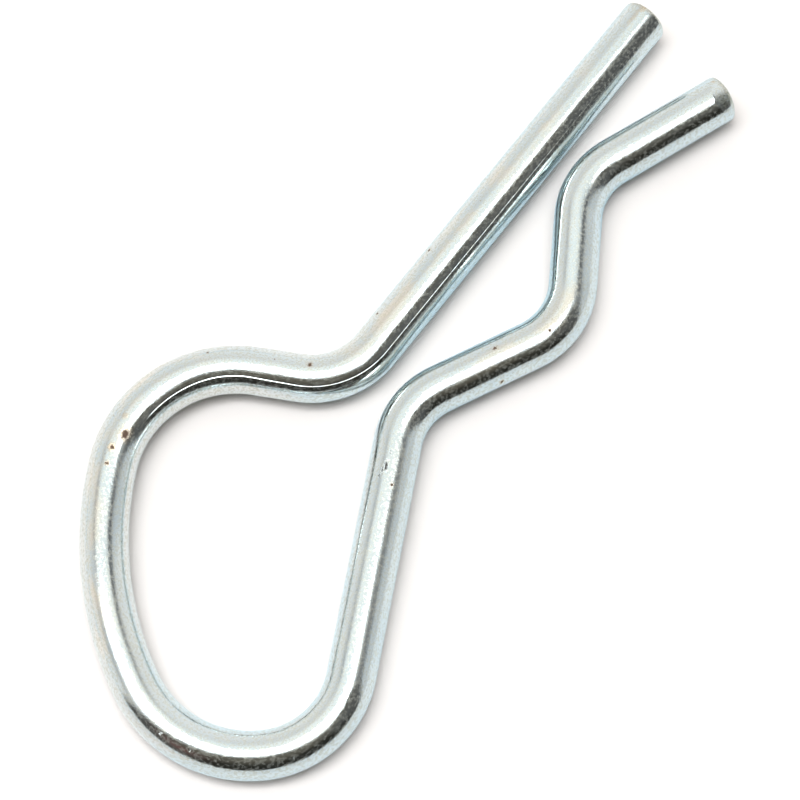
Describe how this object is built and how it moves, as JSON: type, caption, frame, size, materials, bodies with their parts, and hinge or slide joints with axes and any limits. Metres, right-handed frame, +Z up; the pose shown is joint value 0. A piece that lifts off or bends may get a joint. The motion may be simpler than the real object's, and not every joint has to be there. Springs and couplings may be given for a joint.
{
  "type": "hitch pin clip",
  "caption": "Flat spring clip bent from one round wire: a straight leg for a cross hole, a rounded spring loop and a wavy leg that grips the shaft.",
  "frame": {"origin": "on the surface that the clip lies on, under the middle of the box round the whole clip", "axes": "+X along the straight leg towards the two free ends, +Z up, square to the flat of the clip, with the grip leg on the -Y side of the straight leg"},
  "size_m": [0.074, 0.032, 0.004],
  "materials": {
    "zinc_plated_wire": "bright clear zinc plate over drawn spring wire, with fine grain and a few rust specks"
  },
  "bodies": {
    "root": {"spring_wire": "zinc_plated_wire"}
  },
  "joints": []
}
